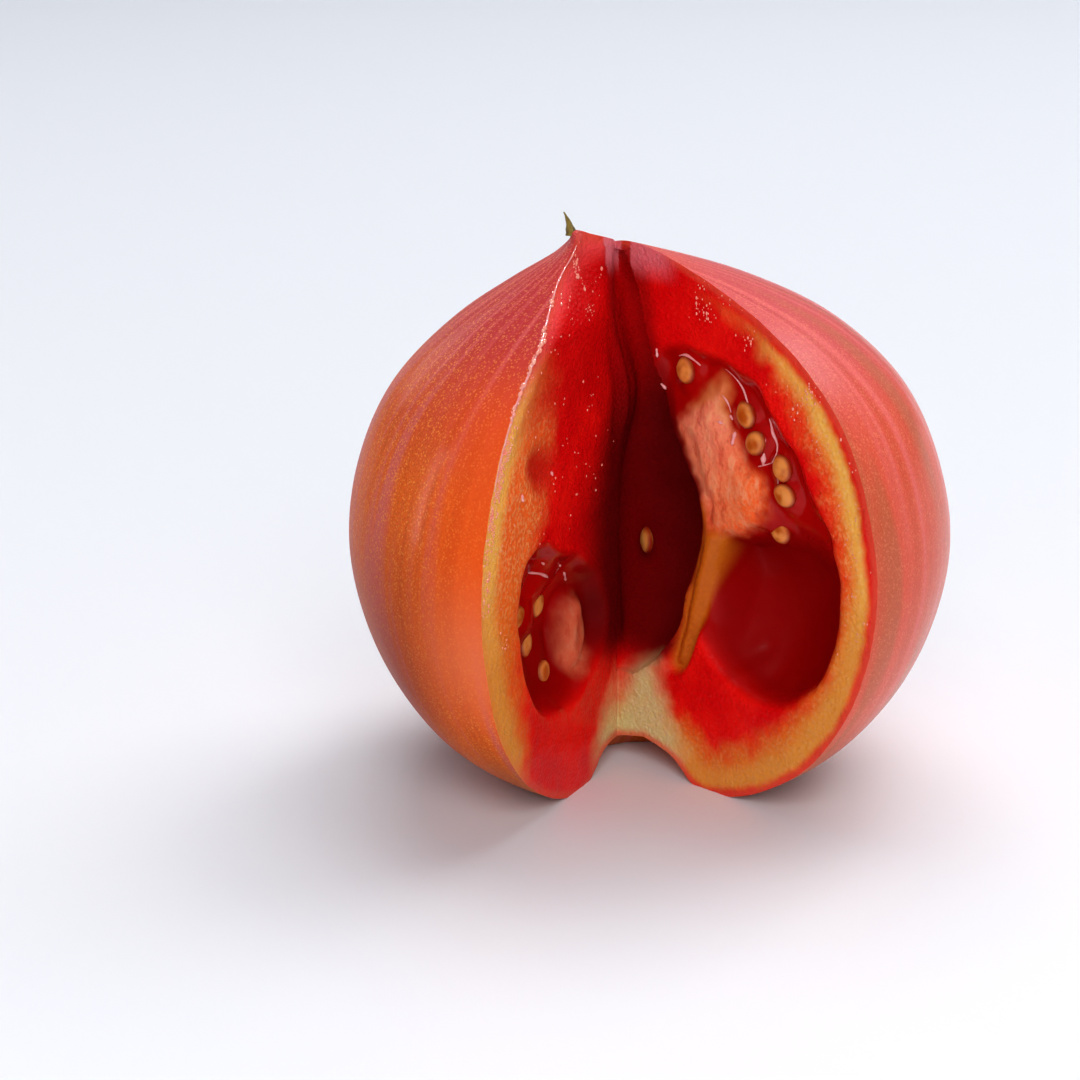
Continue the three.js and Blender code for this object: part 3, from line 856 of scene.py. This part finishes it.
def left_rim(z):
    """The points of the left cut face 0.4 mm inside the skin, at these heights."""
    reach = np.linspace(4, 46, 421)
    rim = []
    for level in z:
        row = np.full((1, len(reach)), level)
        face = on_face("left", reach[None], row, relief("left", reach[None], row))[0]
        rim.append(face[max(int(np.argmin(below_skin(face))) - 4, 0)])
    return np.array(rim)


RIM_BEADS = 160
pick = np.random.default_rng(77)
on_flesh = np.zeros(len(co), bool)
on_flesh[np.unique([v for p in cut_mesh.polygons if p.material_index == 1 for v in p.vertices])] = True
nearly_flat = np.abs(own_depth) < 2.0 + 2.0 * smooth(70, 78, height) * is_left
open_face = on_flesh & nearly_flat & (u_here > 2)
grouped = np.clip(grain(co, 2.8, 41) + 0.15, 0, 1) ** 2 + 0.004
on_left, on_right = open_face & is_left, open_face & ~is_left
# Face, nearest and furthest below the skin, lowest and highest, how many, smallest and largest.
# 99 stands where there is no limit.
BEAD_ZONES = {
    "left edge": (on_left, 0.3, 2.6, 36, 62, 300, 0.12, 0.36),
    "left zone": (on_left, 0.3, 7, 30, 99, 120, 0.10, 0.24),
    "left face": (on_left, 7, 99, 42, 99, 46, 0.12, 0.30),
    "right zone": (on_right, 0.3, 6, 24, 99, 110, 0.10, 0.24),
    "right top": (on_right & (u_here > 13), 1, 8, 58, 99, 60, 0.14, 0.36),
    "tip": (on_left, 0.7, 6, 74, 82.5, 20, 0.20, 0.66),
}
bead_points, bead_sizes, bead_spins = [], [], []
for name, (face, near, deep, low, high, number, small, large) in BEAD_ZONES.items():
    where = face & (beneath >= near) & (beneath < deep) & (height > low) & (height < high)
    likely = grouped * where
    chosen = pick.choice(len(co), number, replace=False, p=likely / likely.sum())
    bead_points.append(co[chosen])
    bead_sizes.append(small + (large - small) * pick.random(number) ** 2)
    bead_spins.append(np.zeros((number, 3)))
    print(name, number, "beads")
rim_line = left_rim(np.linspace(57, 81, RIM_BEADS))
rim_way = np.gradient(rim_line, axis=0)
rim_size = (0.12 + 0.52 * pick.random(RIM_BEADS) ** 1.6) * smooth(56, 66, rim_line[:, 2])
rim_size *= smooth(-0.35, 0.25, grain(rim_line, 2.4, 43))
bead_points.append(rim_line + pick.normal(0, 0.14, rim_line.shape))
bead_sizes.append(rim_size + 0.06)
bead_spins.append(np.array([tuple(Vector(way).to_track_quat("Z", "Y").to_euler()) for way in rim_way]))
# The pale pinkish-white colour of the beads is a painted highlight.
look = Look("juice")
clear = look.noise(0.001, 1.0)
look.finish(Base_Color=look.mix(clear, (255, 112, 88), (255, 190, 168)), Roughness=0.05 + 0.02 * clear,
            IOR=1.36, Coat_Weight=1.0, Coat_Roughness=0.02)
bead_points, bead_spins = np.vstack(bead_points), np.vstack(bead_spins)
juice = scatter("juice", bead_points, bead_spins, np.concatenate(bead_sizes), bead_mesh(), look.material)

# %% [markdown]
# ## Gel ridges
# Where gel meets a seed or a torn film of tissue it climbs a little, and that rounded rim catches
# the light as a thin bright line. Each ridge is a tapered tube on a curve drawn on a cut face, and
# one long ridge of juice follows the cut edge of the skin up to the tip. The ridges are also painted
# a pale pinkish white, a painted highlight that brightens the line.

# %% Ridges of gel
# Face, radius, and the u and z of the points that the ridge passes
RIDGES = [
    ("right", 0.20, [(10.8, 65.7), (12.2, 66.1), (13.5, 65.7), (14.7, 64.9)]),
    ("right", 0.20, [(6.9, 66.2), (6.9, 64.9)]),
    ("right", 0.22, [(6.8, 60.7), (7.4, 59.9)]),
    ("right", 0.13, [(19.4, 65.1), (21.1, 64.2), (22.6, 62.9), (24.0, 61.5), (24.9, 59.9), (24.7, 58.4),
                     (23.8, 57.2)]),
    ("right", 0.13, [(19.2, 61.2), (20.0, 60.3), (20.6, 58.9)]),
    ("right", 0.21, [(28.0, 59.3), (28.6, 57.6), (29.3, 56.2), (29.9, 54.8)]),
    ("right", 0.14, [(29.9, 54.9), (29.5, 53.5), (28.1, 52.6), (26.1, 51.8)]),
    ("right", 0.13, [(30.1, 53.9), (31.1, 53.4), (31.9, 52.6), (32.5, 51.5)]),
    ("right", 0.12, [(29.7, 52.8), (30.0, 51.5), (30.2, 50.1)]),
    ("right", 0.36, [(27.6, 54.1), (27.0, 52.2)]),
    ("right", 0.30, [(21.6, 56.1), (21.2, 54.2)]),
    ("right", 0.16, [(27.2, 57.0), (27.8, 56.1), (26.9, 55.0)]),
    ("right", 0.20, [(18.6, 57.3), (19.4, 57.0)]),
    ("right", 0.20, [(20.4, 58.4), (21.0, 57.9)]),
    ("left", 0.24, [(29.9, 38.6), (29.3, 37.3), (27.9, 36.2)]),
    ("left", 0.24, [(24.0, 36.4), (21.2, 35.5), (18.7, 34.2)]),
    ("left", 0.22, [(13.9, 33.7), (12.3, 31.9)]),
    ("left", 0.18, [(22.2, 37.6), (21.4, 37.1)]),
    ("left", 0.18, [(16.8, 35.8), (16.0, 35.3)]),
    ("left", 0.20, [(23.7, 52.0), (23.5, 51.4)]),
    ("left", 0.22, [(33.9, 51.2), (33.7, 50.2)]),
]
RIDGE_STEPS, RIDGE_SIDES = 14, 8
RIM_RADIUS, RIM_STEPS = 0.19, 120


def gel_ridge(side, radius, path):
    """Points of one ridge on a curve through places on a cut face."""
    line = spline(path, RIDGE_STEPS)
    depth = relief(side, line[None, :, 0], line[None, :, 1])[0]
    return tapered_tube(side, radius, on_face(side, line[:, 0], line[:, 1], depth - 0.3 * radius))


def tapered_tube(side, radius, middle):
    """Rings of points along a middle line that taper to a point at both ends."""
    way = np.gradient(middle, axis=0)
    way /= np.linalg.norm(way, axis=1)[:, None]
    out = np.broadcast_to(-np.append(INTO[side], 0), way.shape)
    beside = np.cross(way, out)
    beside /= np.linalg.norm(beside, axis=1)[:, None]
    raised = np.cross(beside, way)
    share_along = np.linspace(0, 1, len(middle))
    width = radius * np.sin(math.pi * (0.08 + 0.84 * share_along)) ** 0.6
    width *= 1 + 0.25 * np.sin(share_along * len(middle) * 0.65 + middle[0, 0])
    turn = np.linspace(0, 2 * math.pi, RIDGE_SIDES, endpoint=False)
    ring = beside[:, None] * np.cos(turn)[None, :, None] + raised[:, None] * np.sin(turn)[None, :, None]
    rings = middle[:, None] + ring * width[:, None, None]
    ends = [middle[0] - way[0] * width[0], middle[-1] + way[-1] * width[-1]]
    return np.vstack([rings.reshape(-1, 3), ends])


tubes = [gel_ridge(*ridge) for ridge in RIDGES]
tubes.append(tapered_tube("left", RIM_RADIUS, left_rim(np.linspace(54, 82, RIM_STEPS))))
ridge_faces, start = [], 0
for tube in tubes:
    ridge_faces += closed_faces(len(tube) // RIDGE_SIDES, RIDGE_SIDES, start)
    start += len(tube)
ridges = mesh_from("gel_ridges", np.vstack(tubes), ridge_faces)
outward(ridges)
# The pale pinkish-white colour of the ridges is a painted highlight.
look = Look("gel_ridge_highlight")
ridge_highlight_tone = look.noise(0.0012, 2.0)
look.finish(Base_Color=look.mix(ridge_highlight_tone, (236, 96, 96), (255, 206, 204)), Roughness=0.06 + 0.04 * ridge_highlight_tone,
            IOR=1.36, Coat_Weight=1.0, Coat_Roughness=0.02)
ridges.data.materials.append(look.material)
print("gel ridges:", len(tubes), "with", len(ridges.data.polygons), "faces")

# %% [markdown]
# ## The dried style
# Where the flower once sat, a small brown thorn is left on the tip. It narrows quickly, bends to
# one side and has dried in ridges. It is drawn ring by ring along its bend.

# %% Dried style
STYLE_RADIUS, STYLE_HEIGHT, STYLE_BEND, STYLE_SUNK = 0.9, 3.4, 0.09, 0.9
STYLE_RINGS, STYLE_AROUND = 26, 20
share_up = np.linspace(0, 1, STYLE_RINGS)
width = np.interp(share_up, [0, 0.22, 0.55, 0.84, 1], [1, 0.85, 0.5, 0.24, 0.12]) * STYLE_RADIUS
phi = np.linspace(0, 2 * math.pi, STYLE_AROUND, endpoint=False)
s, p = np.meshgrid(share_up, phi, indexing="ij")
furrows = 1 - 0.1 * np.abs(np.sin(2.5 * p + 2 * s)) - 0.05 * np.sin(17 * s)
wide = np.broadcast_to(width[:, None], s.shape) * furrows
zs_style = s * STYLE_HEIGHT
style_points = np.stack([wide * np.cos(p) - STYLE_BEND * zs_style**2, wide * np.sin(p), zs_style], axis=-1)
style_tip = [-STYLE_BEND * STYLE_HEIGHT**2, 0, STYLE_HEIGHT]
style_points = np.vstack([style_points.reshape(-1, 3), [[0, 0, 0]], [style_tip]])
style_foot = np.array([*TIP_LEAN, TIP_HEIGHT - BASE_SINK - STYLE_SUNK])
style_faces = closed_faces(STYLE_RINGS, STYLE_AROUND)
style = mesh_from("dried_style_thorn", style_points + style_foot, style_faces)
outward(style)
look = Look("dried_style")
fibre = look.noise(0.0007, 3.0, 0.7, stretch=(1, 1, 0.25))
dry = look.mix(look.ease(fibre, 0.35, 0.65), (70, 50, 12), (142, 118, 44))
look.finish(Base_Color=dry, Roughness=0.75 + 0.1 * fibre, Normal=look.bump(fibre, 0.0002, 0.7))
style.data.materials.append(look.material)
print("style:", len(style.data.polygons), "faces")

# %% [markdown]
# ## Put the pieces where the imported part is
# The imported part's origin is the middle of its own box, so all pieces move together by the step that
# brings the new fruit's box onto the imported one. Then each piece rides on the fruit's only body, and
# the edges where skin meets flesh are marked sharp, so that the cut stays crisp.

# %% Move, shade and attach the pieces
fruit_low, fruit_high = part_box("fruit")
co = np.array([v.co for v in fruit.data.vertices])
packed_middle = (np.array(fruit_low) + np.array(fruit_high))[:2] / 2
new_middle = (co.min(0) + co.max(0))[:2] / 2
shift = Vector((*(packed_middle - new_middle).tolist(), 0))
for piece in (fruit, seeds, juice, ridges, style):
    piece.data.transform(Matrix.Translation(shift))
    for polygon in piece.data.polygons:
        polygon.use_smooth = True
    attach(piece, "root")
edges = {}
for polygon in fruit.data.polygons:
    for key in polygon.edge_keys:
        edges.setdefault(key, set()).add(polygon.material_index)
seam = np.array([len(edges[tuple(e.key)]) > 1 for e in fruit.data.edges])
fruit.data.attributes.new("sharp_edge", "BOOLEAN", "EDGE").data.foreach_set("value", seam)
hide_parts("fruit")
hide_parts("dried_style")
print("moved by", [round(v / MM, 3) for v in shift], "mm;", int(seam.sum()), "seam edges")

# %% [markdown]
# ## Floor, light and camera
# The fruit stands on a seamless pale floor, and a pale sky fills the shade. Wide soft lamps light the
# surfaces: one from the upper right and behind, one above and a weaker one in front. Their glints
# would veil the dark flesh, so smaller lamps that only show in glossy surfaces draw the crisp ones.

# %% Floor
bpy.ops.mesh.primitive_plane_add(size=8.0, location=(0, 0, 0))
floor = bpy.context.object
floor.name = "floor"
look = Look("pale_floor")
# The floor is painted darker and bluer towards the back: a painted falloff of the light.
paint = look.mix(look.ease(look.axis("Y"), -0.1, 1.6), (242, 243, 247), (232, 236, 243))
look.finish(Base_Color=paint, Roughness=0.42 + 0.04 * look.noise(0.02))
floor.data.materials.append(look.material)

# %% Light
scene = bpy.context.scene
scene.view_settings.view_transform = "Standard"
world = bpy.data.worlds.new("pale_room")
scene.world = world
world.use_nodes = True
sky = world.node_tree.nodes["Background"]
sky.inputs["Color"].default_value = rgb((232, 239, 255))
sky.inputs["Strength"].default_value = 0.22
WHITE = (1.0, 1.0, 1.0)
LAMPS_AIM = Vector((0, 0, 0.04))


def soft_light(name, position, size, power, colour=WHITE, shines=True, glints=True):
    """A lamp of this width and height; shines lights surfaces evenly, glints shows it in wet ones."""
    lamp = bpy.data.lights.new(name, "AREA")
    lamp.shape, lamp.size, lamp.size_y, lamp.energy, lamp.color = "RECTANGLE", *size, power, colour
    obj = bpy.data.objects.new(name, lamp)
    scene.collection.objects.link(obj)
    obj.location = position
    obj.rotation_euler = (Vector(position) - LAMPS_AIM).to_track_quat("Z", "Y").to_euler()
    obj.visible_diffuse, obj.visible_glossy = shines, glints


soft_light("window_behind_right", (1.20, 1.05, 1.65), (1.3, 1.3), 18.5, (1.0, 0.99, 0.98), glints=False)
soft_light("ceiling", (0.10, 0.70, 1.70), (1.4, 1.4), 20.0, (0.98, 0.99, 1.0), glints=False)
soft_light("front_fill", (0.05, -1.15, 0.80), (0.8, 0.8), 10.0, (1.0, 0.99, 0.98), glints=False)
soft_light("glint_window", (1.20, 1.05, 1.65), (0.9, 0.9), 30.0, shines=False)
soft_light("glint_back_left", (-0.90, 1.40, 0.55), (0.50, 0.50), 2.5, shines=False)
soft_light("glint_above", (0.25, 0.20, 1.25), (0.28, 0.28), 16.0, shines=False)
soft_light("glint_front", (-0.40, -0.75, 1.00), (0.12, 0.12), 2.5, shines=False)
soft_light("glint_left", (-1.10, 0.16, 0.24), (0.04, 0.60), 4.5, shines=False)

# %% Camera
LENS, SENSOR = 99.9, 36.0
CAMERA_TILT = math.radians(17.0)
CAMERA_PLACE = Vector((-0.0161, -0.4312, 0.1688))
camera = bpy.data.objects.new("camera", bpy.data.cameras.new("camera"))
scene.collection.objects.link(camera)
scene.camera = camera
camera.data.lens, camera.data.sensor_width = LENS, SENSOR
camera.location = CAMERA_PLACE + shift - Vector((0, 0, BASE_SINK * MM))
camera.rotation_euler = (math.pi / 2 - CAMERA_TILT, 0, 0)
camera.data.clip_start, camera.data.clip_end = 0.01, 50
print("camera at", [round(v, 4) for v in camera.location])
